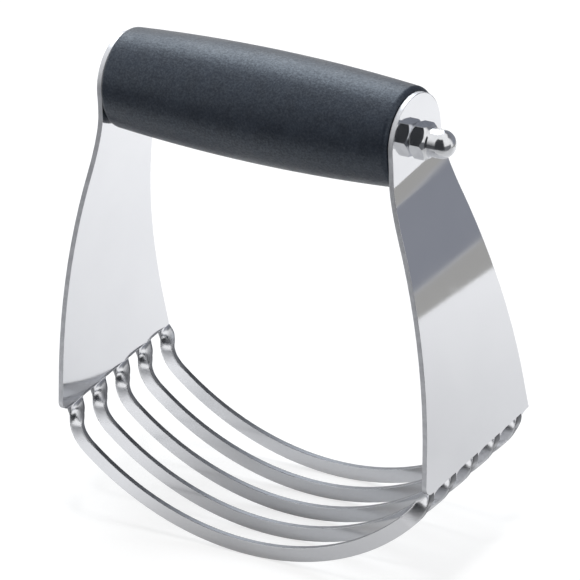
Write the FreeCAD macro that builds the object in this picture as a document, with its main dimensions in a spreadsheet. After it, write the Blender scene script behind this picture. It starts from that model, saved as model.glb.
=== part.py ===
"""Pastry blender: five curved blades hung between two cheeks under a barrel grip.

Frame: millimetres, +Z up, +X along the grip towards the cap nut, -Y towards the
cook.  The origin is on the surface the blades stand on, midway between the cheeks.
"""

import FreeCAD
import Part
import Sketcher
import math
import os

from FreeCAD import Placement, Rotation, Vector

SIZES = {
    # the bent sheet: two cheeks and the blades between them
    "gauge": 1.5,             # thickness of the sheet
    "grip_gap": 98.0,         # between the cheeks' inner faces at the grip
    "axis_height": 136.0,     # bolt axis above the surface the blades stand on
    "tab_radius": 13.7,       # round top of each cheek
    "tab_drop": 6.0,          # flat part of the cheek below the bolt axis
    "bend_radius": 36.0,      # middle of the sheet, where the cheek bends outward
    "bend_share": 0.56,       # of the cheek's whole lean, turned by that bend
    "easing_radius": 105.0,   # the slower bend below, down to the bulge
    "upright_length": 11.1,   # upright stretch between the bulge and the blade roots
    "root_reach": 63.0,       # middle of the sheet from the centre, at the blade roots
    "waist": 0.75,            # the tapered edges would pass this far inside the tab's
    "lobe_radius": 3.0,       # rounded front corner of the cheek's lower edge
    # the blades
    "blade_width": 4.5,
    "blade_pitch": 12.8,
    "blade_radius": 83.0,     # lower edge of a blade
    "corner_radius": 13.0,    # lower edge where the blade leaves the cheek
    "root_rise": 0.6,         # upright start of a strip, above its corner arc
    "slot_fillet": 4.2,       # at the front end of each slot between two roots
    "twist_length": 7.0,      # along the strip, for its quarter turn
    "drift": 2.9,             # a blade stands this far in front of its root
    "drift_length": 14.5,     # along the strip, for that drift
    # the grip
    "grip_end_radius": 15.05,
    "grip_mid_radius": 17.0,
    "grip_rim": 1.6,          # rounding of the grip's ends
    "skin": 2.6,              # soft skin over the core, at the ends
    "core_overlap": 0.15,     # the core stands proud of the skin at each end
    "end_clearance": 0.1,     # between core and cheek, at each end
    "turn_clearance": 0.05,   # between core and bolt, all round
    "bond_clearance": 0.02,   # between core and skin, all round
    # the bolt and its nut
    "bolt_radius": 3.0,
    "bolt_reach": 7.5,        # past the outer face of the far cheek
    "bolt_tip": 0.5,          # chamfer at the bolt's end
    "head_radius": 5.25,
    "head_height": 3.3,
    "head_rim": 1.3,          # straight rim of the head, below its dome
    "socket_flats": 4.0,
    "socket_depth": 2.0,
    "hole_clearance": 0.15,   # between bolt and cheek, all round
    "nut_flats": 10.0,
    "nut_height": 5.0,
    "nut_face_radius": 4.75,  # round end faces left by the chamfers
    "nut_chamfer_angle": 45.0,
    "nut_turn": 39.0,         # a flat faces forward and this far upward
    "dome_radius": 4.3,
    "dome_reach": 7.8,        # beyond the hexagon
    "neck": 1.0,              # fillet between hexagon and dome
    "neck_rise": 0.4,         # how far out that fillet runs
    "thread_clearance": 0.03, # between bolt and nut, all round
    "thread_relief": 0.8,     # past the bolt's end, inside the nut
}

BLADE_COUNT = 5
TRIM_MARGIN = 4.0             # how far trimming shapes stand clear of what they cut
TWIST_STEPS = 9               # sections along the strip, past the slot's fillet
TWIST_LEAD = 0.65             # below 1, the strip turns sooner after its root
FILLET_STEPS = 6              # sections round the slot's fillet
FILLET_START = math.radians(25)   # the fillet leaves the cheek's lower edge this steeply

doc = FreeCAD.newDocument("pastry_blender")
sheet = doc.addObject("Spreadsheet::Sheet", "Sizes")
for row, (alias, value) in enumerate(SIZES.items(), start=1):
    sheet.set("A%d" % row, alias)
    sheet.set("B%d" % row, str(value))
    sheet.setAlias("B%d" % row, alias)
doc.recompute()


def size(alias):
    """Value of a cell of the sheet."""
    return float(sheet.get(alias))


def worked_out(expression):
    """Value of an expression over the sheet's cells."""
    return float(sheet.evalExpression(expression))


# Sizes that follow from the ones in the sheet.
TAB_X = "(Sizes.grip_gap + Sizes.gauge) / 2"
ROOT_HALF = "(%d * Sizes.blade_pitch / 2 + Sizes.blade_width)" % (BLADE_COUNT - 1)
BOLT_LENGTH = "(Sizes.grip_gap + 2 * Sizes.gauge + Sizes.bolt_reach)"
# the blade's two arcs touch, and the small one ends upright below the cheek
ARC_GAP = "(Sizes.blade_radius - Sizes.corner_radius)"
CORNER_X = "(Sizes.root_reach - Sizes.corner_radius)"
CORNER_Z = "(Sizes.blade_radius - sqrt({gap} ^ 2 - {x} ^ 2))".format(gap=ARC_GAP, x=CORNER_X)
ROOT_HEIGHT = "({corner} + Sizes.root_rise)".format(corner=CORNER_Z)
# the lean that takes the sheet out from the tab to the roots over the height it has
SPREAD = "(Sizes.bend_radius - Sizes.easing_radius)"
BOW_HEIGHT = "(Sizes.axis_height - Sizes.tab_drop - {root} - Sizes.upright_length)".format(
    root=ROOT_HEIGHT)
BEND_ANGLE = "(Sizes.bend_share * 2 * atan((Sizes.root_reach - {tab}) / {bow}))".format(
    tab=TAB_X, bow=BOW_HEIGHT)
BOW_LEFT = "({bow} - {spread} * sin({bend}))".format(
    bow=BOW_HEIGHT, spread=SPREAD, bend=BEND_ANGLE)
REACH_LEFT = "(Sizes.root_reach - {tab} - {spread} * (1 - cos({bend})))".format(
    tab=TAB_X, spread=SPREAD, bend=BEND_ANGLE)
FLARE = "(2 * atan({reach} / {bow}))".format(reach=REACH_LEFT, bow=BOW_LEFT)
BULGE = "({bow} / sin({flare}) - Sizes.easing_radius)".format(bow=BOW_LEFT, flare=FLARE)
# the slope that takes the cheek's edges in from the roots to the tab
TAPER = "atan(({half} - Sizes.tab_radius + Sizes.waist) / (Sizes.axis_height - {root}))".format(
    half=ROOT_HALF, root=ROOT_HEIGHT)


# ---------------------------------------------------------------- sketch helpers

def sketch_in(body, role, name):
    """New sketch on one of the body's own origin planes."""
    plane = next(p for p in body.Origin.OriginFeatures if p.Role == role)
    sketch = body.newObject("Sketcher::SketchObject", name)
    sketch.AttachmentSupport = [(plane, "")]
    sketch.MapMode = "FlatFace"
    return sketch


def bound(sketch, name, constraint, expression):
    """Add a named dimension and tie it to the sheet."""
    index = sketch.addConstraint(constraint)
    sketch.renameConstraint(index, name)
    sketch.setExpression("Constraints." + name, expression)


def polyline(sketch, points):
    """Closed run of lines; returns the index of the first one."""
    first = sketch.GeometryCount
    count = len(points)
    for a, b in zip(points, points[1:] + points[:1]):
        sketch.addGeometry(Part.LineSegment(Vector(*a, 0), Vector(*b, 0)), False)
    for i in range(count):
        sketch.addConstraint(
            Sketcher.Constraint("Coincident", first + i, 2, first + (i + 1) % count, 1))
    return first


def rectangle(sketch, low, high):
    """Closed rectangle with level and upright sides; returns its first line."""
    corners = [(low[0], low[1]), (high[0], low[1]), (high[0], high[1]), (low[0], high[1])]
    first = polyline(sketch, corners)
    for i, kind in enumerate(("Horizontal", "Vertical", "Horizontal", "Vertical")):
        sketch.addConstraint(Sketcher.Constraint(kind, first + i))
    return first


def arc(sketch, centre, radius, start, end):
    """Arc drawn anticlockwise from start to end, both in radians."""
    circle = Part.Circle(Vector(*centre, 0), Vector(0, 0, 1), radius)
    return sketch.addGeometry(Part.ArcOfCircle(circle, start, end), False)


def line(sketch, a, b):
    return sketch.addGeometry(Part.LineSegment(Vector(*a, 0), Vector(*b, 0)), False)


def join(sketch, kind, first, first_end, second, second_end):
    """Join two ends, smoothly with Tangent or at a corner with Coincident."""
    sketch.addConstraint(Sketcher.Constraint(kind, first, first_end, second, second_end))


def revolve(body, sketch, name, feature="PartDesign::Revolution"):
    """Full turn about the sketch's level axis."""
    turned = body.newObject(feature, name)
    turned.Profile = sketch
    turned.ReferenceAxis = (sketch, ["H_Axis"])
    turned.Angle = 360.0
    sketch.Visibility = False
    return turned


# ---------------------------------------------------------------- one cheek

flare = math.radians(worked_out(FLARE))
taper = math.radians(worked_out(TAPER))
tab_x = worked_out(TAB_X)
root_half = worked_out(ROOT_HALF)
root_height = worked_out(ROOT_HEIGHT)
bulge_radius = worked_out(BULGE)

cheek = doc.addObject("PartDesign::Body", "Cheek")

# the middle of the sheet seen from the front: tab, bend, easing, bulge, upright root
tab_end = (tab_x, size("axis_height") - size("tab_drop"))
bend_angle = math.radians(worked_out(BEND_ANGLE))
bend_centre = (tab_x + size("bend_radius"), tab_end[1])
spread = size("bend_radius") - size("easing_radius")
easing_centre = (bend_centre[0] - spread * math.cos(bend_angle),
                 bend_centre[1] - spread * math.sin(bend_angle))
bulge_centre = (size("root_reach") - bulge_radius, root_height + size("upright_length"))
cheek_top = size("axis_height") + size("tab_radius") + TRIM_MARGIN

bend_line = sketch_in(cheek, "XZ_Plane", "bend_line")
tab = line(bend_line, (tab_x, cheek_top), tab_end)
bend = arc(bend_line, bend_centre, size("bend_radius"), math.pi, math.pi + bend_angle)
easing = arc(bend_line, easing_centre, size("easing_radius"),
             math.pi + bend_angle, math.pi + flare)
bulge = arc(bend_line, bulge_centre, bulge_radius, 0, flare)
root = line(bend_line, (size("root_reach"), bulge_centre[1]),
            (size("root_reach"), root_height))
join(bend_line, "Tangent", tab, 2, bend, 1)
join(bend_line, "Tangent", bend, 2, easing, 1)
join(bend_line, "Tangent", easing, 2, bulge, 2)
join(bend_line, "Tangent", bulge, 1, root, 1)
bend_line.addConstraint(Sketcher.Constraint("Vertical", tab))
bend_line.addConstraint(Sketcher.Constraint("Vertical", root))
bound(bend_line, "tab_x", Sketcher.Constraint("DistanceX", -1, 1, tab, 1, tab_x),
      TAB_X)
bound(bend_line, "top", Sketcher.Constraint("DistanceY", -1, 1, tab, 1, cheek_top),
      "Sizes.axis_height + Sizes.tab_radius + %g" % TRIM_MARGIN)
bound(bend_line, "tab_end", Sketcher.Constraint("DistanceY", -1, 1, tab, 2, tab_end[1]),
      "Sizes.axis_height - Sizes.tab_drop")
bound(bend_line, "bend", Sketcher.Constraint("Radius", bend, size("bend_radius")),
      "Sizes.bend_radius")
bound(bend_line, "bend_turn",
      Sketcher.Constraint("DistanceY", bend, 2, bend, 1,
                          size("bend_radius") * math.sin(bend_angle)),
      "Sizes.bend_radius * sin(%s)" % BEND_ANGLE)
bound(bend_line, "easing", Sketcher.Constraint("Radius", easing, size("easing_radius")),
      "Sizes.easing_radius")
bound(bend_line, "bulge", Sketcher.Constraint("Radius", bulge, bulge_radius), BULGE)
bound(bend_line, "root_x", Sketcher.Constraint("DistanceX", -1, 1, root, 2, size("root_reach")),
      "Sizes.root_reach")
bound(bend_line, "root_z", Sketcher.Constraint("DistanceY", -1, 1, root, 2, root_height),
      ROOT_HEIGHT)

# the sheet's section at the top of that line, wider than the cheek will be
half_sheet = root_half + TRIM_MARGIN
sheet_section = sketch_in(cheek, "XY_Plane", "sheet_section")
sheet_section.AttachmentOffset = Placement(Vector(0, 0, cheek_top), Rotation())
side = rectangle(sheet_section, (tab_x - size("gauge") / 2, -half_sheet),
                 (tab_x + size("gauge") / 2, half_sheet))
bound(sheet_section, "inner", Sketcher.Constraint("DistanceX", -1, 1, side, 1, tab_x - 1),
      "Sizes.grip_gap / 2")
bound(sheet_section, "gauge", Sketcher.Constraint("DistanceX", side, 1, side, 2, size("gauge")),
      "Sizes.gauge")
sheet_section.addConstraint(
    Sketcher.Constraint("DistanceY", side, 1, -1, 1, half_sheet))
sheet_section.addConstraint(
    Sketcher.Constraint("DistanceY", -1, 1, side + 1, 2, half_sheet))

bent_sheet = cheek.newObject("PartDesign::AdditivePipe", "bent_sheet")
bent_sheet.Profile = sheet_section
bent_sheet.Spine = (bend_line, [])
doc.recompute()

# the cheek's outline seen from the side, cut out of the sheet
blend_run = size("waist") / math.tan(taper)       # from the axis down to the taper's start
blend_radius = blend_run / math.tan(taper / 2)
blend_x = size("tab_radius") + blend_radius
axis_z = size("axis_height")
taper_top = (blend_x - blend_radius * math.cos(taper), axis_z - blend_radius * math.sin(taper))

outline = sketch_in(cheek, "YZ_Plane", "outline")
rectangle(outline, (-half_sheet - TRIM_MARGIN, root_height - TRIM_MARGIN),
          (half_sheet + TRIM_MARGIN, cheek_top + TRIM_MARGIN))
crown = arc(outline, (0, axis_z), size("tab_radius"), 0, math.pi)
front_blend = arc(outline, (-blend_x, axis_z), blend_radius, -taper, 0)
front_edge = line(outline, (-taper_top[0], taper_top[1]), (-root_half, root_height))
lower_edge = line(outline, (-root_half, root_height), (root_half, root_height))
back_edge = line(outline, (root_half, root_height), taper_top)
back_blend = arc(outline, (blend_x, axis_z), blend_radius, math.pi, math.pi + taper)
join(outline, "Tangent", crown, 2, front_blend, 2)
join(outline, "Tangent", front_blend, 1, front_edge, 1)
join(outline, "Coincident", front_edge, 2, lower_edge, 1)
join(outline, "Coincident", lower_edge, 2, back_edge, 1)
join(outline, "Tangent", back_edge, 2, back_blend, 2)
join(outline, "Tangent", back_blend, 1, crown, 1)
outline.addConstraint(Sketcher.Constraint("Symmetric", lower_edge, 1, lower_edge, 2, -2))
outline.addConstraint(Sketcher.Constraint("PointOnObject", crown, 3, -2))
outline.addConstraint(Sketcher.Constraint("Horizontal", crown, 1, crown, 3))
outline.addConstraint(Sketcher.Constraint("Horizontal", crown, 2, crown, 3))
bound(outline, "front_taper",
      Sketcher.Constraint("Angle", front_edge, -math.pi / 2 - taper),
      "-90 deg - " + TAPER)
bound(outline, "back_taper",
      Sketcher.Constraint("Angle", back_edge, math.pi / 2 + taper),
      "90 deg + " + TAPER)
bound(outline, "axis_z", Sketcher.Constraint("DistanceY", -1, 1, crown, 3, axis_z),
      "Sizes.axis_height")
bound(outline, "crown", Sketcher.Constraint("Radius", crown, size("tab_radius")),
      "Sizes.tab_radius")
bound(outline, "root_z",
      Sketcher.Constraint("DistanceY", -1, 1, lower_edge, 1, root_height), ROOT_HEIGHT)
bound(outline, "root_width",
      Sketcher.Constraint("DistanceX", lower_edge, 1, lower_edge, 2, 2 * root_half),
      "2 * " + ROOT_HALF)
trim = cheek.newObject("PartDesign::Pocket", "trim")
trim.Profile = outline
trim.Type = "ThroughAll"
trim.Midplane = True
doc.recompute()

hole = sketch_in(cheek, "YZ_Plane", "hole")
ring = hole.addGeometry(
    Part.Circle(Vector(0, axis_z, 0), Vector(0, 0, 1), size("bolt_radius")), False)
hole.addConstraint(Sketcher.Constraint("PointOnObject", ring, 3, -2))
bound(hole, "axis_z", Sketcher.Constraint("DistanceY", -1, 1, ring, 3, axis_z),
      "Sizes.axis_height")
bound(hole, "clear", Sketcher.Constraint("Radius", ring, size("bolt_radius")),
      "Sizes.bolt_radius + Sizes.hole_clearance")
bolt_hole = cheek.newObject("PartDesign::Pocket", "bolt_hole")
bolt_hole.Profile = hole
bolt_hole.Type = "ThroughAll"
bolt_hole.Midplane = True
doc.recompute()


def edges_where(shape, test):
    """Names of the edges whose middle point passes the test."""
    names = []
    for number, edge in enumerate(shape.Edges, start=1):
        middle = edge.valueAt((edge.FirstParameter + edge.LastParameter) / 2)
        if test(middle, edge):
            names.append("Edge%d" % number)
    return names


def is_lobe_corner(middle, edge):
    return abs(middle.z - root_height) < 0.01 and abs(middle.y + root_half) < 0.01


lobe = cheek.newObject("PartDesign::Fillet", "lobe")
lobe.Base = (bolt_hole, edges_where(bolt_hole.Shape, is_lobe_corner))
lobe.setExpression("Radius", "Sizes.lobe_radius")
doc.recompute()

# ---------------------------------------------------------------- one blade

# The lower edge of a strip, seen from the front, from the root down: upright, then
# the small corner arc, then the large arc that all blades stand on.
corner_x = worked_out(CORNER_X)
corner_z = worked_out(CORNER_Z)
arc_half_angle = math.asin(corner_x / worked_out(ARC_GAP))
upright_run = size("root_rise")
corner_run = size("corner_radius") * (math.pi / 2 - arc_half_angle)
strip_run = max(size("drift_length"), size("twist_length"), upright_run + corner_run)
loft_half_angle = arc_half_angle - (strip_run - upright_run - corner_run) / size("blade_radius")


def lower_edge_at(run):
    """Place on the strip's lower edge, and the slope of the strip there."""
    if run < upright_run:
        return size("root_reach"), root_height - run, math.pi / 2
    if run < upright_run + corner_run:
        slope = math.pi / 2 - (run - upright_run) / size("corner_radius")
        return (corner_x + size("corner_radius") * math.sin(slope),
                corner_z - size("corner_radius") * math.cos(slope), slope)
    slope = arc_half_angle - (run - upright_run - corner_run) / size("blade_radius")
    return (size("blade_radius") * math.sin(slope),
            size("blade_radius") * (1 - math.cos(slope)), slope)


def ease(share):
    """Smooth step from 0 to 1."""
    share = min(max(share, 0.0), 1.0)
    return share * share * (3 - 2 * share)


def twist_at(run):
    """Turn of the strip, quickest soon after it leaves the cheek."""
    return math.pi / 2 * ease(run / size("twist_length")) ** TWIST_LEAD


def fillet_angle_at(run):
    """Slope of the slot's fillet, from its start on the cheek's edge to upright."""
    fall = math.cos(FILLET_START) - run / size("slot_fillet")
    return math.acos(max(fall, 0.0))


def strip_section(name, run, flared):
    """Section of the strip: a rectangle turned by the twist, as a bound sketch."""
    x, z, slope = lower_edge_at(run)
    twist = twist_at(run)
    inward = Vector(-math.sin(slope), 0, math.cos(slope))
    across = inward * math.sin(twist) + Vector(0, math.cos(twist), 0)
    through = inward * math.cos(twist) - Vector(0, math.sin(twist), 0)
    along = across.cross(through)
    flare_share = 0.0
    if flared:
        flare_share = 1 - math.sin(fillet_angle_at(run))
    section = doc.addObject("Sketcher::SketchObject", name)
    section.Placement = Placement(
        Vector(x, -size("drift") * ease(run / size("drift_length")), z),
        Rotation(across, through, along, "XYZ"))
    first = rectangle(section, (0, -size("gauge") / 2),
                      (size("blade_width"), size("gauge") / 2))
    section.addConstraint(Sketcher.Constraint("PointOnObject", first, 1, -2))
    bound(section, "inner",
          Sketcher.Constraint("DistanceY", first, 1, -1, 1, size("gauge") / 2),
          "Sizes.gauge / 2")
    bound(section, "width",
          Sketcher.Constraint("DistanceX", first, 1, first, 2, size("blade_width")),
          "Sizes.blade_width + %.6f * Sizes.slot_fillet" % flare_share)
    bound(section, "gauge",
          Sketcher.Constraint("DistanceY", first + 1, 1, first + 1, 2, size("gauge")),
          "Sizes.gauge")
    section.Visibility = False
    return section


def twisted_strip(name, flared):
    """The strip from the cheek's lower edge to the start of the large arc."""
    fillet_run = size("slot_fillet") * math.cos(FILLET_START)
    turn = (math.pi / 2 - FILLET_START) / FILLET_STEPS
    runs = [fillet_run - size("slot_fillet") * math.cos(FILLET_START + turn * i)
            for i in range(FILLET_STEPS)]
    runs += [fillet_run + (strip_run - fillet_run) * i / TWIST_STEPS
             for i in range(TWIST_STEPS + 1)]
    strip = doc.addObject("Part::Loft", name)
    strip.Sections = [strip_section("%s_%02d" % (name, i), run, flared)
                      for i, run in enumerate(runs)]
    strip.Solid = True
    return strip


def mirrored(name, source):
    """The same shape on the other side of the middle plane."""
    twin = doc.addObject("Part::Mirroring", name)
    twin.Source = source
    twin.Normal = Vector(1, 0, 0)
    return twin


blade_arc = doc.addObject("PartDesign::Body", "BladeArc")
arc_sketch = sketch_in(blade_arc, "XZ_Plane", "arc_sketch")
inner_radius = size("blade_radius") - size("blade_width")
start = -math.pi / 2 - loft_half_angle
end = -math.pi / 2 + loft_half_angle
lower = arc(arc_sketch, (0, size("blade_radius")), size("blade_radius"), start, end)
upper = arc(arc_sketch, (0, size("blade_radius")), inner_radius, start, end)
ends = []
for angle in (start, end):
    ends.append(line(
        arc_sketch,
        (size("blade_radius") * math.cos(angle),
         size("blade_radius") + size("blade_radius") * math.sin(angle)),
        (inner_radius * math.cos(angle),
         size("blade_radius") + inner_radius * math.sin(angle))))
for number, cap in enumerate(ends, start=1):
    join(arc_sketch, "Coincident", cap, 1, lower, number)
    join(arc_sketch, "Coincident", cap, 2, upper, number)
arc_sketch.addConstraint(Sketcher.Constraint("Coincident", lower, 3, upper, 3))
arc_sketch.addConstraint(Sketcher.Constraint("PointOnObject", lower, 3, -2))
bound(arc_sketch, "centre",
      Sketcher.Constraint("DistanceY", -1, 1, lower, 3, size("blade_radius")),
      "Sizes.blade_radius")
bound(arc_sketch, "lower", Sketcher.Constraint("Radius", lower, size("blade_radius")),
      "Sizes.blade_radius")
bound(arc_sketch, "upper", Sketcher.Constraint("Radius", upper, inner_radius),
      "Sizes.blade_radius - Sizes.blade_width")
for number, cap in enumerate(ends):
    turn = (start, end)[number] + math.pi
    arc_sketch.addConstraint(Sketcher.Constraint("Angle", cap, turn))
arc_pad = blade_arc.newObject("PartDesign::Pad", "arc_pad")
arc_pad.Profile = arc_sketch
arc_pad.Midplane = True
arc_pad.setExpression("Length", "Sizes.gauge")
blade_arc.setExpression("Placement.Base.y", "-Sizes.drift")
doc.recompute()

blades = []
for name, flared in (("slotted", True), ("flush", False)):
    strip = twisted_strip(name + "_strip", flared)
    blade = doc.addObject("Part::MultiFuse", name + "_blade")
    blade.Shapes = [blade_arc, strip, mirrored(name + "_strip_left", strip)]
    blades.append(blade)
doc.recompute()

# ---------------------------------------------------------------- blade frame

pieces = [cheek, mirrored("cheek_left", cheek)]
for number in range(BLADE_COUNT):
    row_blade = doc.addObject("App::Link", "blade_%d" % (number + 1))
    row_blade.LinkedObject = blades[1] if number == BLADE_COUNT - 1 else blades[0]
    row_blade.LinkTransform = False
    row_blade.setExpression(
        "Placement.Base.y", "%g * Sizes.blade_pitch" % (number - (BLADE_COUNT - 1) / 2))
    pieces.append(row_blade)
blade_frame = doc.addObject("Part::MultiFuse", "blade_frame")
blade_frame.Shapes = pieces
blade_frame.Refine = True
doc.recompute()

# ---------------------------------------------------------------- grip

core_half = size("grip_gap") / 2 - size("end_clearance")
skin_half = core_half - size("core_overlap")
core_radius = size("grip_end_radius") - size("skin")
axis_up = Vector(0, 0, 1) * axis_z

grip_core = doc.addObject("PartDesign::Body", "grip_core")
core_sketch = sketch_in(grip_core, "XZ_Plane", "core_sketch")
bar = rectangle(core_sketch, (-core_half, size("bolt_radius") + size("turn_clearance")),
                (core_half, core_radius))
bound(core_sketch, "half", Sketcher.Constraint("DistanceX", bar, 1, -1, 1, core_half),
      "Sizes.grip_gap / 2 - Sizes.end_clearance")
bound(core_sketch, "length", Sketcher.Constraint("DistanceX", bar, 1, bar, 2, 2 * core_half),
      "Sizes.grip_gap - 2 * Sizes.end_clearance")
bound(core_sketch, "bore", Sketcher.Constraint("DistanceY", -1, 1, bar, 1, 2.0),
      "Sizes.bolt_radius + Sizes.turn_clearance")
bound(core_sketch, "outside", Sketcher.Constraint("DistanceY", -1, 1, bar + 1, 2, core_radius),
      "Sizes.grip_end_radius - Sizes.skin")
revolve(grip_core, core_sketch, "core_turned")
grip_core.setExpression("Placement.Base.z", "Sizes.axis_height")
doc.recompute()

grip_sleeve = doc.addObject("PartDesign::Body", "grip_sleeve")
skin_sketch = sketch_in(grip_sleeve, "XZ_Plane", "skin_sketch")
rise = size("grip_mid_radius") - size("grip_end_radius")
barrel_radius = (skin_half ** 2 + rise ** 2) / (2 * rise)
barrel_angle = math.asin(skin_half / barrel_radius)
skin_inside = core_radius + size("bond_clearance")
barrel = arc(skin_sketch, (0, size("grip_mid_radius") - barrel_radius), barrel_radius,
             math.pi / 2 - barrel_angle, math.pi / 2 + barrel_angle)
left_end = line(skin_sketch, (-skin_half, size("grip_end_radius")), (-skin_half, skin_inside))
inside = line(skin_sketch, (-skin_half, skin_inside), (skin_half, skin_inside))
right_end = line(skin_sketch, (skin_half, skin_inside), (skin_half, size("grip_end_radius")))
join(skin_sketch, "Coincident", barrel, 2, left_end, 1)
join(skin_sketch, "Coincident", left_end, 2, inside, 1)
join(skin_sketch, "Coincident", inside, 2, right_end, 1)
join(skin_sketch, "Coincident", right_end, 2, barrel, 1)
for upright in (left_end, right_end):
    skin_sketch.addConstraint(Sketcher.Constraint("Vertical", upright))
skin_sketch.addConstraint(Sketcher.Constraint("Symmetric", inside, 1, inside, 2, -2))
skin_sketch.addConstraint(Sketcher.Constraint("Horizontal", barrel, 1, barrel, 2))
bound(skin_sketch, "length", Sketcher.Constraint("DistanceX", inside, 1, inside, 2, 2 * skin_half),
      "Sizes.grip_gap - 2 * Sizes.end_clearance - 2 * Sizes.core_overlap")
bound(skin_sketch, "inside", Sketcher.Constraint("DistanceY", -1, 1, inside, 1, skin_inside),
      "Sizes.grip_end_radius - Sizes.skin + Sizes.bond_clearance")
bound(skin_sketch, "end_radius",
      Sketcher.Constraint("DistanceY", -1, 1, left_end, 1, size("grip_end_radius")),
      "Sizes.grip_end_radius")
bound(skin_sketch, "barrel", Sketcher.Constraint("Radius", barrel, barrel_radius),
      "(({half})^2 + ({rise})^2) / (2 * ({rise}))".format(
          half="Sizes.grip_gap / 2 - Sizes.end_clearance - Sizes.core_overlap",
          rise="Sizes.grip_mid_radius - Sizes.grip_end_radius"))
skin_turned = revolve(grip_sleeve, skin_sketch, "skin_turned")
grip_sleeve.setExpression("Placement.Base.z", "Sizes.axis_height")
doc.recompute()


def is_grip_rim(middle, edge):
    outside = math.hypot(middle.y, middle.z) > size("grip_end_radius") - 0.01
    return outside and abs(abs(middle.x) - skin_half) < 0.01 and len(edge.Vertexes) == 1


rims = grip_sleeve.newObject("PartDesign::Fillet", "rims")
rims.Base = (skin_turned, edges_where(skin_turned.Shape, is_grip_rim))
rims.setExpression("Radius", "Sizes.grip_rim")
doc.recompute()

# ---------------------------------------------------------------- through bolt

seat_x = size("grip_gap") / 2 + size("gauge")     # outer face of a cheek's tab

through_bolt = doc.addObject("PartDesign::Body", "through_bolt")
bolt_sketch = sketch_in(through_bolt, "XZ_Plane", "bolt_sketch")
tip_x = worked_out(BOLT_LENGTH)
crown_rise = size("head_height") - size("head_rim")
crown_radius = (size("head_radius") ** 2 + crown_rise ** 2) / (2 * crown_rise)
crown_angle = math.asin(size("head_radius") / crown_radius)
profile = [(-size("head_rim"), size("head_radius")), (0, size("head_radius")),
           (0, size("bolt_radius")), (tip_x - size("bolt_tip"), size("bolt_radius")),
           (tip_x, size("bolt_radius") - size("bolt_tip")), (tip_x, 0),
           (-size("head_height"), 0)]
sides = [line(bolt_sketch, a, b) for a, b in zip(profile, profile[1:])]
dome = arc(bolt_sketch, (crown_radius - size("head_height"), 0), crown_radius,
           math.pi - crown_angle, math.pi)
for a, b in zip(sides, sides[1:]):
    join(bolt_sketch, "Coincident", a, 2, b, 1)
join(bolt_sketch, "Coincident", sides[-1], 2, dome, 2)
join(bolt_sketch, "Coincident", dome, 1, sides[0], 1)
for number in (0, 2, 5):
    bolt_sketch.addConstraint(Sketcher.Constraint("Horizontal", sides[number]))
for number in (1, 4):
    bolt_sketch.addConstraint(Sketcher.Constraint("Vertical", sides[number]))
bolt_sketch.addConstraint(Sketcher.Constraint("PointOnObject", sides[1], 1, -2))
bolt_sketch.addConstraint(Sketcher.Constraint("PointOnObject", dome, 3, -1))
bolt_sketch.addConstraint(Sketcher.Constraint("PointOnObject", sides[5], 1, -1))
bound(bolt_sketch, "rim", Sketcher.Constraint("DistanceX", sides[0], 1, -1, 1, size("head_rim")),
      "Sizes.head_rim")
bound(bolt_sketch, "head", Sketcher.Constraint("DistanceX", sides[5], 2, -1, 1,
                                               size("head_height")), "Sizes.head_height")
bound(bolt_sketch, "head_radius", Sketcher.Constraint("DistanceY", -1, 1, sides[0], 1,
                                                      size("head_radius")), "Sizes.head_radius")
bound(bolt_sketch, "shank", Sketcher.Constraint("DistanceY", -1, 1, sides[1], 2,
                                                size("bolt_radius")), "Sizes.bolt_radius")
bound(bolt_sketch, "length", Sketcher.Constraint("DistanceX", -1, 1, sides[4], 1, tip_x),
      BOLT_LENGTH)
bound(bolt_sketch, "tip_run", Sketcher.Constraint("DistanceX", sides[3], 1, sides[3], 2,
                                                  size("bolt_tip")), "Sizes.bolt_tip")
bound(bolt_sketch, "tip_fall", Sketcher.Constraint("DistanceY", sides[3], 2, sides[3], 1,
                                                   size("bolt_tip")), "Sizes.bolt_tip")
revolve(through_bolt, bolt_sketch, "bolt_turned")
through_bolt.setExpression("Placement.Base.z", "Sizes.axis_height")
through_bolt.setExpression("Placement.Base.x", "-Sizes.grip_gap / 2 - Sizes.gauge")
doc.recompute()


def hexagon(sketch, flats, turn, expression):
    """Hexagon about the sketch's origin, measured across its flats."""
    circle_radius = flats / math.sqrt(3)
    corners = [(circle_radius * math.cos(turn + math.radians(60 * i + 30)),
                circle_radius * math.sin(turn + math.radians(60 * i + 30)))
               for i in range(6)]
    first = polyline(sketch, corners)
    ring_index = sketch.addGeometry(
        Part.Circle(Vector(0, 0, 0), Vector(0, 0, 1), circle_radius), True)
    sketch.addConstraint(Sketcher.Constraint("Coincident", ring_index, 3, -1, 1))
    for i in range(6):
        sketch.addConstraint(Sketcher.Constraint("PointOnObject", first + i, 1, ring_index))
    for i in range(5):
        sketch.addConstraint(Sketcher.Constraint("Equal", first + i, first + i + 1))
    edge_turn = turn + math.radians(60 + 90)
    sketch.addConstraint(Sketcher.Constraint("Angle", first, edge_turn))
    bound(sketch, "corners", Sketcher.Constraint("Radius", ring_index, circle_radius),
          expression + " / sqrt(3)")


socket_sketch = sketch_in(through_bolt, "YZ_Plane", "socket_sketch")
socket_sketch.AttachmentOffset = Placement(Vector(0, 0, -size("head_height")), Rotation())
hexagon(socket_sketch, size("socket_flats"), 0.0, "Sizes.socket_flats")
socket = through_bolt.newObject("PartDesign::Pocket", "socket")
socket.Profile = socket_sketch
socket.Reversed = True
socket.setExpression("Length", "Sizes.socket_depth")
doc.recompute()

# ---------------------------------------------------------------- cap nut

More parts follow.
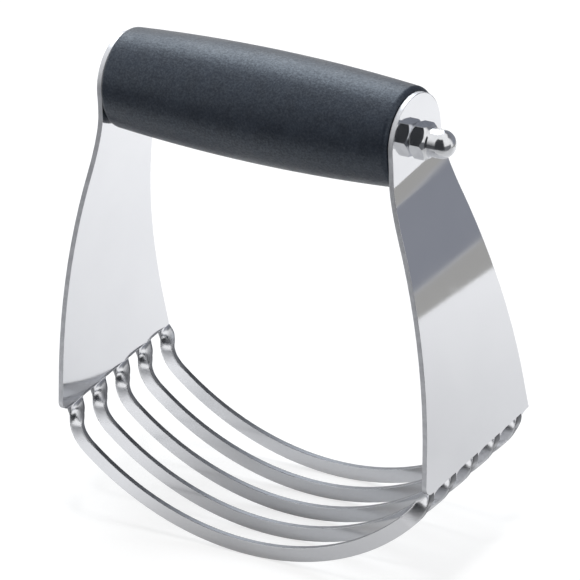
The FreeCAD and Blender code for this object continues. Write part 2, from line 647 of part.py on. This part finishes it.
cap_nut = doc.addObject("PartDesign::Body", "cap_nut")
hex_sketch = sketch_in(cap_nut, "YZ_Plane", "hex_sketch")
hexagon(hex_sketch, size("nut_flats"), math.pi - math.radians(size("nut_turn")),
        "Sizes.nut_flats")
hex_pad = cap_nut.newObject("PartDesign::Pad", "hex_pad")
hex_pad.Profile = hex_sketch
hex_pad.setExpression("Length", "Sizes.nut_height")
doc.recompute()

# cones that take the corners off both ends of the hexagon
corner_reach = size("nut_flats") / math.sqrt(3)
chamfer_slope = math.tan(math.radians(size("nut_chamfer_angle")))
cone_reach = corner_reach + 1
cone_fall = (cone_reach - size("nut_face_radius")) * chamfer_slope
for name, face_x, outward in (("seat_chamfer", 0.0, -1), ("end_chamfer", size("nut_height"), 1)):
    chamfer_sketch = sketch_in(cap_nut, "XZ_Plane", name + "_sketch")
    polyline(chamfer_sketch, [
        (face_x, size("nut_face_radius")),
        (face_x + outward, size("nut_face_radius")),
        (face_x + outward, cone_reach),
        (face_x - outward * cone_fall, cone_reach)])
    for number in range(4):
        chamfer_sketch.addConstraint(Sketcher.Constraint("Block", number))
    revolve(cap_nut, chamfer_sketch, name, "PartDesign::Groove")
    doc.recompute()

dome_sketch = sketch_in(cap_nut, "XZ_Plane", "dome_sketch")
dome_top = size("nut_height") + size("dome_reach")
ball_x = dome_top - size("dome_radius")
neck_top = (size("nut_height"), size("dome_radius") + size("neck_rise"))
neck_run = math.sqrt(size("neck") ** 2 - (size("neck") - size("neck_rise")) ** 2)
neck_end_x = size("nut_height") + neck_run
base = line(dome_sketch, (size("nut_height") / 2, 0), (size("nut_height") / 2, neck_top[1]))
flank = line(dome_sketch, (size("nut_height") / 2, neck_top[1]), neck_top)
fillet = arc(dome_sketch, (neck_end_x, size("dome_radius") + size("neck")), size("neck"),
             1.5 * math.pi - math.asin(neck_run / size("neck")), 1.5 * math.pi)
barrel_side = line(dome_sketch, (neck_end_x, size("dome_radius")),
                   (ball_x, size("dome_radius")))
ball = arc(dome_sketch, (ball_x, 0), size("dome_radius"), 0, math.pi / 2)
floor = line(dome_sketch, (dome_top, 0), (size("nut_height") / 2, 0))
join(dome_sketch, "Coincident", base, 2, flank, 1)
join(dome_sketch, "Coincident", flank, 2, fillet, 1)
join(dome_sketch, "Tangent", fillet, 2, barrel_side, 1)
join(dome_sketch, "Tangent", barrel_side, 2, ball, 2)
join(dome_sketch, "Coincident", ball, 1, floor, 1)
join(dome_sketch, "Coincident", floor, 2, base, 1)
for level in (flank, barrel_side):
    dome_sketch.addConstraint(Sketcher.Constraint("Horizontal", level))
dome_sketch.addConstraint(Sketcher.Constraint("Vertical", base))
dome_sketch.addConstraint(Sketcher.Constraint("PointOnObject", ball, 3, -1))
dome_sketch.addConstraint(Sketcher.Constraint("PointOnObject", ball, 1, -1))
dome_sketch.addConstraint(Sketcher.Constraint("PointOnObject", base, 1, -1))
bound(dome_sketch, "base_x", Sketcher.Constraint("DistanceX", -1, 1, base, 1, 2.5),
      "Sizes.nut_height / 2")
bound(dome_sketch, "neck_x", Sketcher.Constraint("DistanceX", -1, 1, fillet, 1, 5.0),
      "Sizes.nut_height")
bound(dome_sketch, "neck", Sketcher.Constraint("Radius", fillet, size("neck")), "Sizes.neck")
bound(dome_sketch, "neck_rise",
      Sketcher.Constraint("DistanceY", fillet, 2, fillet, 1, size("neck_rise")),
      "Sizes.neck_rise")
bound(dome_sketch, "ball", Sketcher.Constraint("Radius", ball, size("dome_radius")),
      "Sizes.dome_radius")
bound(dome_sketch, "tip", Sketcher.Constraint("DistanceX", -1, 1, ball, 1, dome_top),
      "Sizes.nut_height + Sizes.dome_reach")
revolve(cap_nut, dome_sketch, "dome_turned")
doc.recompute()

bore_sketch = sketch_in(cap_nut, "YZ_Plane", "bore_sketch")
bore_ring = bore_sketch.addGeometry(
    Part.Circle(Vector(0, 0, 0), Vector(0, 0, 1), size("bolt_radius")), False)
bore_sketch.addConstraint(Sketcher.Constraint("Coincident", bore_ring, 3, -1, 1))
bound(bore_sketch, "bore", Sketcher.Constraint("Radius", bore_ring, size("bolt_radius")),
      "Sizes.bolt_radius + Sizes.thread_clearance")
bore = cap_nut.newObject("PartDesign::Pocket", "bore")
bore.Profile = bore_sketch
bore.Reversed = True
bore.setExpression("Length", "Sizes.bolt_reach + Sizes.thread_relief")
cap_nut.setExpression("Placement.Base.z", "Sizes.axis_height")
cap_nut.setExpression("Placement.Base.x", "Sizes.grip_gap / 2 + Sizes.gauge")
doc.recompute()

# ---------------------------------------------------------------- check and write

PIECES = [blade_frame, grip_sleeve, grip_core, through_bolt, cap_nut]
failed = [item.Name for item in doc.Objects if {"Invalid", "Error"} & set(item.State)]
if failed:
    raise RuntimeError("did not build: " + ", ".join(failed))
os.makedirs("parts", exist_ok=True)
for piece in PIECES:
    piece.Label = piece.Name
    shape = piece.Shape
    if shape.isNull() or not shape.isValid() or len(shape.Solids) != 1:
        raise RuntimeError("%s is not one valid solid" % piece.Name)
    box = shape.BoundBox
    print("%-14s %9.1f mm3  x %.2f..%.2f  y %.2f..%.2f  z %.2f..%.2f" % (
        piece.Name, shape.Volume, box.XMin, box.XMax, box.YMin, box.YMax, box.ZMin, box.ZMax))
    shape.exportStep("parts/%s.step" % piece.Name)
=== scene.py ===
import math

import bpy
from mathutils import Matrix, Vector


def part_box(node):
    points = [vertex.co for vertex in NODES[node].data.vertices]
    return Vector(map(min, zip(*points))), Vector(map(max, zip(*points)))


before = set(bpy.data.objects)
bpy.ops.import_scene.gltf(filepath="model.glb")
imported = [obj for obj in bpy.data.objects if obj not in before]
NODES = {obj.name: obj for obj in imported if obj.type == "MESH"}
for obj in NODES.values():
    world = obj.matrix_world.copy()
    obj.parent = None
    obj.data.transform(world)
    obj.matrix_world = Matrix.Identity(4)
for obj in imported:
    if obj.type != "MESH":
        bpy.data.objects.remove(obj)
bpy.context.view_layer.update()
scene = bpy.context.scene

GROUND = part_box("blade_frame")[0].z      # the surface that the blades stand on


# ---------------------------------------------------------------- node helpers

class Nodes:
    """A material's or world's node tree, built up by name."""

    def __init__(self, owner):
        owner.use_nodes = True
        self.tree = owner.node_tree
        self.tree.nodes.clear()

    def add(self, kind, inputs=None, **settings):
        node = self.tree.nodes.new("ShaderNode" + kind)
        for name, value in settings.items():
            setattr(node, name, value)
        for name, value in (inputs or {}).items():
            self.put(value, node.inputs[name])
        return node

    def put(self, value, socket):
        """Link an output, or set a plain value."""
        if isinstance(value, bpy.types.NodeSocket):
            self.tree.links.new(value, socket)
        else:
            socket.default_value = value

    def math(self, operation, a, b=0.0):
        return self.add("Math", {0: a, 1: b}, operation=operation).outputs[0]

    def times(self, a, b):
        return self.math("MULTIPLY", a, b)

    def total(self, *values):
        whole = values[0]
        for value in values[1:]:
            whole = self.math("ADD", whole, value)
        return whole

    def spread(self, value, low, high, to_low=0.0, to_high=1.0, smooth=True):
        """Map a span of values onto another, held at both ends."""
        return self.add("MapRange", {"Value": value, "From Min": low, "From Max": high,
                                     "To Min": to_low, "To Max": to_high},
                        interpolation_type="SMOOTHSTEP" if smooth else "LINEAR").outputs["Result"]

    def fall(self, value, low, high):
        """1 below a span and 0 above it."""
        return self.spread(value, low, high, 1.0, 0.0)

    def band(self, value, low, high, soft):
        """1 between two values, with soft ends."""
        return self.times(self.spread(value, low - soft, low + soft),
                          self.fall(value, high - soft, high + soft))

    def mix(self, share, a, b):
        """Blend two plain numbers."""
        return self.add("Mix", {0: share, 2: a, 3: b}, data_type="FLOAT").outputs[0]

    def mix_colour(self, share, a, b):
        return self.add("Mix", {0: share, 6: a, 7: b}, data_type="RGBA").outputs[2]

    def mottled(self, pattern, a, b, low=0.3, high=0.7):
        """Two colours blended over the middle span of a noise."""
        return self.mix_colour(self.spread(pattern, low, high), a, b)

    def place(self, scale=(1, 1, 1)):
        """The object's own coordinates, in metres, scaled."""
        spot = self.add("TexCoord").outputs["Object"]
        return self.add("Mapping", {"Vector": spot, "Scale": scale}).outputs[0]

    def split(self, vector):
        """The X, Y and Z of a vector."""
        return self.add("SeparateXYZ", {0: vector}).outputs

    def noise(self, vector, scale, detail=2.0, rough=0.5, distortion=0.0):
        return self.add("TexNoise", {"Vector": vector, "Scale": scale, "Detail": detail,
                                     "Roughness": rough,
                                     "Distortion": distortion}).outputs["Fac"]

    def bump(self, height, distance, strength=1.0, normal=None):
        inputs = {"Height": height, "Distance": distance, "Strength": strength}
        if normal is not None:
            inputs["Normal"] = normal
        return self.add("Bump", inputs).outputs[0]

    def rounded(self, radius):
        """Normal that rounds every edge by this radius."""
        return self.add("Bevel", {"Radius": radius}, samples=6).outputs[0]

    def finish(self, shader, kind="OutputMaterial"):
        self.tree.links.new(shader.outputs[0], self.add(kind).inputs["Surface"])


def grey(value):
    return (value, value, value, 1.0)


def material(name):
    made = bpy.data.materials.new(name)
    return made, Nodes(made)


def give(node_name, made):
    """Put a material on every slot of a CAD node."""
    data = NODES[node_name].data
    if not data.materials:
        data.materials.append(made)
    for slot in range(len(data.materials)):
        data.materials[slot] = made


# ---------------------------------------------------------------- polished sheet

ROOT_TOP = 0.0346             # the strips leave the cheeks at this height
ROOT_FOOT = 0.0299            # and have made their turn by this one
ROOT_TURN = math.radians(103)
CHEEK_FADE = (0.034, 0.038)   # heights over which the cheeks' looks come in
TAB_FADE = (0.104, 0.122)     # and the tabs'
TAB_EDGE = 0.85               # share of the edge's look that a tab's narrow faces keep
FORMED = (0.0250, 0.0335)     # heights about the turn, where the sheet is duller
FORMED_SOFT = 0.0015
EDGE_ROUND = 0.00035          # radius that rounds every edge of the sheet
FORMED_ROUND = 0.0006         # and what is added to it about the turn


def sheared_edge(n, where):
    """1 on the sheet's narrow faces, less in the tabs, and 0 on its broad ones.

    The broad faces look along X in the cheeks and along Y in the blades.
    """
    facing = n.split(n.add("NewGeometry").outputs["Normal"])
    turn = n.spread(where[2], ROOT_FOOT, ROOT_TOP, ROOT_TURN, 0.0)
    outward = n.times(facing[0], n.math("SIGN", where[0]))
    along_x = n.times(outward, n.math("COSINE", turn))
    along_y = n.times(facing[1], n.math("SINE", turn))
    broad = n.math("ABSOLUTE", n.total(along_x, along_y))
    in_tab = n.spread(where[2], *TAB_FADE)
    kept = n.spread(in_tab, 0.0, 1.0, 1.0, TAB_EDGE, smooth=False)
    return n.times(n.fall(broad, 0.35, 0.75), kept)


def sheet_steel():
    made, n = material("polished_sheet")
    spot = n.place()
    where = n.split(spot)
    height = where[2]
    edge = sheared_edge(n, where)
    in_cheek = n.spread(height, *CHEEK_FADE)
    formed = n.band(height, *FORMED, FORMED_SOFT)
    # polishing leaves hairlines along the blades and up the cheeks
    hair = n.noise(n.place((900, 120, 900)), 5.0, 3.0, 0.6)
    long_hair = n.noise(n.place((60, 1600, 60)), 4.0, 2.0, 0.6)
    cloud = n.noise(spot, 38.0, 3.0, 0.55)
    smudge = n.noise(spot, 140.0, 4.0, 0.6, 0.4)
    shear = n.noise(n.place((300, 500, 500)), 1.0, 3.0, 0.6)

    worked = n.times(formed, n.spread(height, 0.0285, 0.0315, 0.24, 0.12))
    rough = n.total(n.spread(cloud, 0.35, 0.7, 0.055, 0.085),
                    n.spread(smudge, 0.55, 0.8, 0.0, 0.03), worked)
    edge_rough = n.total(n.spread(shear, 0.3, 0.7, 0.38, 0.44), n.times(in_cheek, -0.04))
    rough = n.mix(edge, rough, edge_rough)

    face_colour = n.mottled(cloud, (0.802, 0.809, 0.835, 1), (0.824, 0.831, 0.855, 1))
    # sheared edges are duller than the polished faces; besides, painted shade darkens the blades'
    # edges against the softbox's highlight, and painted light lightens the cheeks' edges where
    # they mirror the dark front
    blade_edge_painted_shade = n.mottled(shear, (0.150, 0.154, 0.166, 1), (0.180, 0.184, 0.196, 1),
                           0.35, 0.65)
    cheek_edge_painted_light = n.mottled(shear, (0.58, 0.59, 0.62, 1), (0.66, 0.67, 0.70, 1), 0.35, 0.65)
    blade_edge_painted_shade = n.mix_colour(formed, blade_edge_painted_shade, (0.30, 0.305, 0.32, 1))
    edge_colour = n.mix_colour(in_cheek, blade_edge_painted_shade, cheek_edge_painted_light)
    colour = n.mix_colour(edge, face_colour, edge_colour)

    soft = n.rounded(n.total(n.times(formed, FORMED_ROUND), EDGE_ROUND))
    wave = n.bump(n.noise(spot, 22.0, 1.0, 0.4), 0.00008, 0.35, soft)
    lines = n.total(n.times(hair, 0.5), n.times(long_hair, 0.5))
    fine = n.bump(lines, 0.0000025, n.spread(edge, 0.0, 1.0, 0.5, 0.0, smooth=False), wave)
    # the cheeks' edges are less metallic, part of their painted light
    dull = n.times(n.times(edge, in_cheek), 0.5)
    n.finish(n.add("BsdfPrincipled", {"Base Color": colour, "Roughness": rough,
                                      "Metallic": n.math("SUBTRACT", 1.0, dull),
                                      "Normal": fine}))
    return made


# ---------------------------------------------------------------- nut and bolt

DOME_START = 0.0555           # along X, past the nut's hexagon
DOME_SOFT = 0.0015


def nut_steel():
    made, n = material("polished_nut")
    spot = n.place()
    turned = n.noise(n.place((2600, 120, 120)), 1.0, 2.0, 0.5)
    cloud = n.noise(spot, 420.0, 3.0, 0.55)
    domed = n.spread(n.split(spot)[0], DOME_START, DOME_START + DOME_SOFT, 0.0, 0.10)
    rough = n.total(n.spread(cloud, 0.3, 0.7, 0.035, 0.065),
                    n.spread(turned, 0.4, 0.7, 0.0, 0.03), domed)
    colour = n.mottled(cloud, (0.72, 0.73, 0.75, 1), (0.80, 0.81, 0.83, 1))
    normal = n.bump(turned, 0.000004, 0.4, n.rounded(0.00016))
    n.finish(n.add("BsdfPrincipled", {"Base Color": colour, "Metallic": 1.0,
                                      "Roughness": rough, "Normal": normal}))
    return made


def bolt_steel():
    made, n = material("turned_bolt")
    rings = n.noise(n.place((3000, 200, 200)), 1.0, 2.0, 0.6)
    cloud = n.noise(n.place(), 300.0, 3.0, 0.6)
    rough = n.total(n.spread(rings, 0.3, 0.7, 0.2, 0.3), n.spread(cloud, 0.4, 0.7, 0.0, 0.06))
    colour = n.mottled(cloud, (0.55, 0.56, 0.57, 1), (0.66, 0.67, 0.68, 1))
    normal = n.bump(rings, 0.00001, 0.5, n.rounded(0.0002))
    n.finish(n.add("BsdfPrincipled", {"Base Color": colour, "Metallic": 1.0,
                                      "Roughness": rough, "Normal": normal}))
    return made


# ---------------------------------------------------------------- grip

def soft_skin():
    made, n = material("soft_skin")
    spot = n.place()
    grain = n.noise(spot, 1500.0, 3.0, 0.65)
    pebble = n.noise(spot, 700.0, 2.0, 0.5)
    mottle = n.noise(spot, 210.0, 4.0, 0.6)
    drift = n.noise(spot, 45.0, 2.0, 0.5)
    colour = n.mottled(mottle, (0.016, 0.020, 0.030, 1), (0.022, 0.028, 0.041, 1))
    flecks = n.spread(grain, 0.58, 0.78, 0.0, 0.5)
    colour = n.mix_colour(flecks, colour, (0.050, 0.058, 0.074, 1))
    rough = n.total(n.spread(mottle, 0.25, 0.75, 0.35, 0.43),
                    n.spread(drift, 0.3, 0.7, -0.03, 0.03))
    height = n.total(n.times(grain, 0.4), n.times(pebble, 0.6))
    n.finish(n.add("BsdfPrincipled", {"Base Color": colour, "Roughness": rough,
                                      "Normal": n.bump(height, 0.00020, 0.65),
                                      "Specular IOR Level": n.spread(grain, 0.35, 0.65,
                                                                     0.35, 0.72),
                                      "Specular Tint": (0.80, 0.90, 1.0, 1)}))
    return made


def core_plastic():
    made, n = material("core_plastic")
    spot = n.place()
    grain = n.noise(spot, 1500.0, 3.0, 0.6)
    cloud = n.noise(spot, 160.0, 2.0, 0.5)
    colour = n.mottled(cloud, (0.018, 0.019, 0.021, 1), (0.030, 0.031, 0.034, 1))
    n.finish(n.add("BsdfPrincipled", {"Base Color": colour,
                                      "Roughness": n.spread(grain, 0.3, 0.7, 0.42, 0.55),
                                      "Normal": n.bump(grain, 0.00003, 0.5)}))
    return made


give("blade_frame", sheet_steel())
give("cap_nut", nut_steel())
give("through_bolt", bolt_steel())
give("grip_sleeve", soft_skin())
give("grip_core", core_plastic())


# ---------------------------------------------------------------- the page

FLOOR_SHADE = 0.36            # share of the lit floor in what the camera sees of it
FLOOR_LIT = 0.76              # how bright the open floor is under the lamps and the sky
FLOOR_HALF = 1.2
FLOOR_DEPTH = 0.0002          # below the ground
MAT_NEAR = 0.27               # the mirrored paper reaches this far in front and to each side
MAT_FAR = 0.34                # and this far at the back right
MAT_TURN = math.radians(50)
MAT_DEPTH = 0.0001            # below the ground, so over the floor
MAT_GLOW = 0.28               # the painted glow of the mirrored paper, before what place adds or takes
MAT_LEAST = 0.04              # and the least that is left of it
UNDER = (0.01, -0.02, 0)      # painted shadow: the glow falls off towards here, under the blades


def floor_paper():
    """A nearly white page that keeps a faint shadow."""
    made, n = material("floor_paper")
    grain = n.noise(n.place(), 900.0, 3.0, 0.6)
    white = (1.0 - FLOOR_SHADE * FLOOR_LIT) / (1.0 - FLOOR_SHADE)
    page = n.add("Emission", {"Color": grey(1.0), "Strength": white})
    lit = n.add("BsdfDiffuse", {"Color": n.mottled(grain, grey(0.88), grey(0.92))})
    faint = n.add("MixShader", {0: FLOOR_SHADE, 1: page.outputs[0], 2: lit.outputs[0]})
    plain = n.add("BsdfDiffuse", {"Color": grey(0.8)})
    by_camera = n.add("LightPath").outputs["Is Camera Ray"]
    n.finish(n.add("MixShader", {0: by_camera, 1: plain.outputs[0], 2: faint.outputs[0]}))
    return made


def painted_reflection_mat():
    """The page as the steel mirrors it: a painted reflection that glows though it is no lamp,
    duller in front (painted shade) and brighter behind (painted light).
    """
    made, n = material("painted_reflection_mat")
    spot = n.place()
    grain = n.noise(spot, 900.0, 3.0, 0.6)
    colour = n.mottled(grain, (0.505, 0.500, 0.498, 1), (0.525, 0.520, 0.518, 1))
    lit = n.add("BsdfDiffuse", {"Color": colour})
    across, depth, _ = n.split(spot)
    # painted light behind, painted shade in front and towards +X
    behind = n.spread(depth, 0.05, 0.24, 0.0, 0.34, smooth=False)
    front = n.spread(depth, -0.28, -0.06, -0.45, 0.0, smooth=False)
    right = n.times(across, -0.75)
    # painted shadow under the blades
    away = n.add("VectorMath", {0: spot, 1: UNDER}, operation="DISTANCE").outputs["Value"]
    under = n.spread(away, 0.015, 0.080, -0.25, 0.0)
    amount = n.math("MAXIMUM", n.total(behind, front, right, MAT_GLOW, under), MAT_LEAST)
    fill = n.add("Emission", {"Color": grey(1.0), "Strength": amount})
    n.finish(n.add("AddShader", {0: lit.outputs[0], 1: fill.outputs[0]}))
    return made


def paper_sheet(name, low, high, turn, depth, made):
    """A level sheet from low to high along X and as far as low to each side, turned about Z."""
    corners = [(low, low, 0), (high, low, 0), (high, -low, 0), (low, -low, 0)]
    turned = Matrix.Rotation(turn, 4, "Z")
    drop = Vector((0, 0, GROUND - depth))
    data = bpy.data.meshes.new(name)
    data.from_pydata([turned @ Vector(corner) + drop for corner in corners], [], [(0, 1, 2, 3)])
    data.materials.append(made)
    obj = bpy.data.objects.new(name, data)
    scene.collection.objects.link(obj)
    return obj


def make_page():
    floor = paper_sheet("floor", -FLOOR_HALF, FLOOR_HALF, 0.0, FLOOR_DEPTH, floor_paper())
    floor.visible_glossy = False
    floor.visible_transmission = False
    mat = paper_sheet("mat", -MAT_NEAR, MAT_FAR, MAT_TURN, MAT_DEPTH, painted_reflection_mat())
    # seen only in reflections: a painted reflection of the page, glowing though it is no lamp
    mat.visible_camera = False
    mat.visible_diffuse = False
    mat.visible_shadow = False


# ---------------------------------------------------------------- the studio round it, a painted reflection

EYE = 0.10                    # height of the surround's middle, among the cheeks
SURROUND_RADIUS = 1.5
SKY_LIGHT = 0.45              # the sky as it lights the object

# zones of the surround, in degrees: the turn from X towards Y, and the rise from level
DUSK_RISE = (-40, 6)
DUSK_FADE = (8, 16)           # turns over which it goes
BLACK_TURN, BLACK_RISE = (-118, -40), (-19, 62)
SLATE_IN, SLATE_OUT = (22, 42), (108, 114)            # turns over which it comes and goes
SLATE_FOOT, SLATE_TOP = (-13.4, -12.6), (45, 52)      # and rises
SLATE_DIMS = (8, 42)          # rises over which it gets duller
SKIRTING_TURN, SKIRTING_RISE = (5, 118), (-40, -13)


def painted_reflection_surround():
    """The studio round the table, as the polished steel mirrors it: a painted reflection on a
    sphere that glows though it is no lamp.
    """
    made, n = material("painted_reflection_surround")
    spot = n.place()
    x, y, z = n.split(n.add("VectorMath", {0: spot}, operation="NORMALIZE").outputs[0])
    turn = n.math("DEGREES", n.math("ARCTAN2", y, x))
    rise = n.math("DEGREES", n.math("ARCSINE", z))
    painted_mottle = n.noise(spot, 3.0, 2.0, 0.5)
    # the zones' colours are painted reflection: slate behind, black in front, a dusk zone and a
    # beige band low down
    slate = n.mottled(painted_mottle, (0.240, 0.252, 0.288, 1), (0.265, 0.278, 0.314, 1))
    slate = n.mix_colour(n.spread(rise, *SLATE_DIMS), slate, (0.195, 0.200, 0.215, 1))
    dusk = (0.15, 0.155, 0.165, 1)
    black = (0.042, 0.044, 0.048, 1)
    beige = (0.40, 0.395, 0.38, 1)
    far = n.times(n.band(rise, *DUSK_RISE, 3.0), n.fall(turn, *DUSK_FADE))
    front = n.times(n.band(turn, *BLACK_TURN, 3.0), n.band(rise, *BLACK_RISE, 4.0))
    sides = n.times(n.spread(turn, *SLATE_IN), n.fall(turn, *SLATE_OUT))
    back = n.times(sides, n.times(n.spread(rise, *SLATE_FOOT), n.fall(rise, *SLATE_TOP)))
    skirting = n.times(n.band(turn, *SKIRTING_TURN, 3.0), n.band(rise, *SKIRTING_RISE, 0.2))
    colour = n.mix_colour(far, grey(1.0), dusk)
    colour = n.mix_colour(front, colour, black)
    colour = n.mix_colour(back, colour, slate)
    colour = n.mix_colour(skirting, colour, beige)
    n.finish(n.add("Emission", {"Color": colour, "Strength": 1.0}))
    return made


def make_surround():
    bpy.ops.mesh.primitive_uv_sphere_add(segments=48, ring_count=24, radius=SURROUND_RADIUS,
                                         location=(0, 0, EYE))
    ball = bpy.context.object
    ball.name = "surround"
    ball.data.materials.append(painted_reflection_surround())
    # seen only in reflections: a painted reflection, no lamp
    ball.visible_camera = False
    ball.visible_diffuse = False
    ball.visible_shadow = False
    ball.visible_volume_scatter = False


def make_world():
    """White where the camera, or a mirror or glass on its behalf, looks; duller as a light."""
    world = bpy.data.worlds.new("studio")
    scene.world = world
    n = Nodes(world)
    path = n.add("LightPath").outputs
    seen = n.math("MAXIMUM", path["Is Camera Ray"], path["Is Glossy Ray"])
    seen = n.math("MAXIMUM", seen, path["Is Transmission Ray"])
    strength = n.spread(seen, 0.0, 1.0, SKY_LIGHT, 1.0, smooth=False)
    n.finish(n.add("Background", {"Color": grey(1.0), "Strength": strength}), "OutputWorld")


def make_lamp(name, place, aim, size, watts, colour=(1, 1, 1)):
    data = bpy.data.lights.new(name, "AREA")
    data.shape = "RECTANGLE"
    data.size, data.size_y = size
    data.energy = watts
    data.color = colour
    lamp = bpy.data.objects.new(name, data)
    scene.collection.objects.link(lamp)
    lamp.location = place
    lamp.rotation_mode = "QUATERNION"
    lamp.rotation_quaternion = (Vector(aim) - Vector(place)).to_track_quat("-Z", "Y")
    lamp.visible_camera = False
    return lamp


def make_lamps():
    overhead = make_lamp("overhead", place=(0.08, 0.05, 1.3), aim=(0, 0, 0),
                         size=(0.45, 0.14), watts=6.6)
    overhead.visible_glossy = False
    make_lamp("softbox", place=(-0.50, 0.66, 0.98), aim=(0, 0, 0.10),
              size=(0.76, 0.9), watts=7.2, colour=(0.87, 0.935, 1.0))


# ---------------------------------------------------------------- camera

CAMERA_AZIMUTH = math.radians(33.47)
CAMERA_ELEVATION = math.radians(28.34)
CAMERA_ROLL = math.radians(-4.67)
CAMERA_DISTANCE = 2.5185
CAMERA_LENS = 529.8
CAMERA_AIM = Vector((0.00248, 0.0, 0.0756))


def make_camera():
    data = bpy.data.cameras.new("camera")
    data.lens = CAMERA_LENS
    data.sensor_width = 36.0
    data.clip_start, data.clip_end = 0.1, 20.0
    camera = bpy.data.objects.new("camera", data)
    scene.collection.objects.link(camera)
    flat = math.cos(CAMERA_ELEVATION)
    forward = Vector((-math.sin(CAMERA_AZIMUTH) * flat, math.cos(CAMERA_AZIMUTH) * flat,
                      -math.sin(CAMERA_ELEVATION)))
    right = Vector((math.cos(CAMERA_AZIMUTH), math.sin(CAMERA_AZIMUTH), 0))
    up = right.cross(forward)
    x_axis = right * math.cos(CAMERA_ROLL) + up * math.sin(CAMERA_ROLL)
    y_axis = up * math.cos(CAMERA_ROLL) - right * math.sin(CAMERA_ROLL)
    place = CAMERA_AIM - forward * CAMERA_DISTANCE
    camera.matrix_world = Matrix((
        (x_axis.x, y_axis.x, -forward.x, place.x),
        (x_axis.y, y_axis.y, -forward.y, place.y),
        (x_axis.z, y_axis.z, -forward.z, place.z),
        (0, 0, 0, 1)))
    scene.camera = camera


make_page()
make_surround()
make_world()
make_lamps()
make_camera()
scene.view_settings.view_transform = "Standard"
